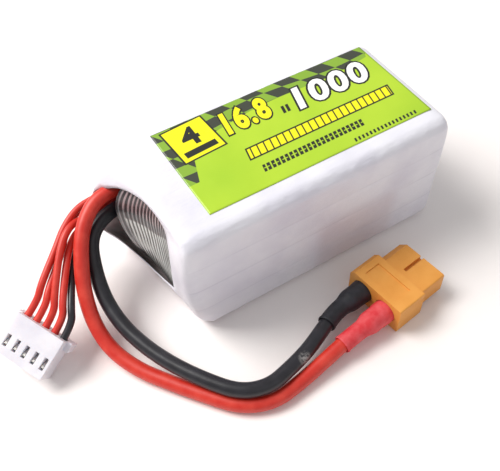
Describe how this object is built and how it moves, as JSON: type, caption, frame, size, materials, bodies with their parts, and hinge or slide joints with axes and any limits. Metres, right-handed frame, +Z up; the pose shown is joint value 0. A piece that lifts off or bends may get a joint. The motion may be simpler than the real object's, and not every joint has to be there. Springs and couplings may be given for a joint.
{
  "type": "lipo battery pack",
  "caption": "Block-shaped lithium polymer battery pack in a white shrink sleeve, with a stacked cell core, a thick two-pole power lead and a thin multi-wire balance lead.",
  "frame": {"origin": "on the floor, below the middle of the shrink sleeve's box", "axes": "+X along the pack, away from the lead end; +Y across it, away from the power connector; +Z up"},
  "size_m": [0.1108, 0.0615, 0.0327],
  "materials": {
    "shrink_film": "satin white film",
    "label_print": "printed film",
    "pad_foam": "soft foam",
    "aluminium_tab": "bare",
    "nickel_tab": "plated",
    "seal_film": "translucent",
    "board_laminate": "solder mask",
    "solder": "satin",
    "guard_sheet": "glass laminate",
    "filament_tape": "clear tape with glass strands",
    "amber_nylon": "moulded",
    "gold_contact": "gold plated",
    "red_shrink": "matt tube",
    "black_shrink": "matt tube",
    "white_nylon": "moulded, slightly clear",
    "tin_terminal": "tin plated",
    "red_silicone": "silicone",
    "black_silicone": "silicone",
    "pouch_foil": "laminated foil"
  },
  "bodies": {
    "root": {"shrink_sleeve": "shrink_film", "label": "label_print", "cell_pads": "pad_foam", "positive_tabs": "aluminium_tab", "negative_tabs": "nickel_tab", "tab_films": "seal_film", "balance_board": "board_laminate", "solder_joints": "solder", "lower_guard": "guard_sheet", "upper_guard": "guard_sheet", "end_pad": "pad_foam", "front_insulator": "pad_foam", "filament_tape": "filament_tape", "power_housing": "amber_nylon", "positive_contact": "gold_contact", "negative_contact": "gold_contact", "conductor_ends": "solder", "positive_shrink": "red_shrink", "negative_shrink": "black_shrink", "balance_housing": "white_nylon", "balance_terminals": "tin_terminal", "positive_lead": "red_silicone", "negative_lead": "black_silicone", "pouch_cell_1": "pouch_foil", "pouch_cell_2": "pouch_foil", "pouch_cell_3": "pouch_foil", "pouch_cell_4": "pouch_foil", "balance_wire_1": "red_silicone", "balance_wire_2": "red_silicone", "balance_wire_3": "red_silicone", "balance_wire_4": "red_silicone", "balance_wire_5": "black_silicone"}
  },
  "joints": []
}
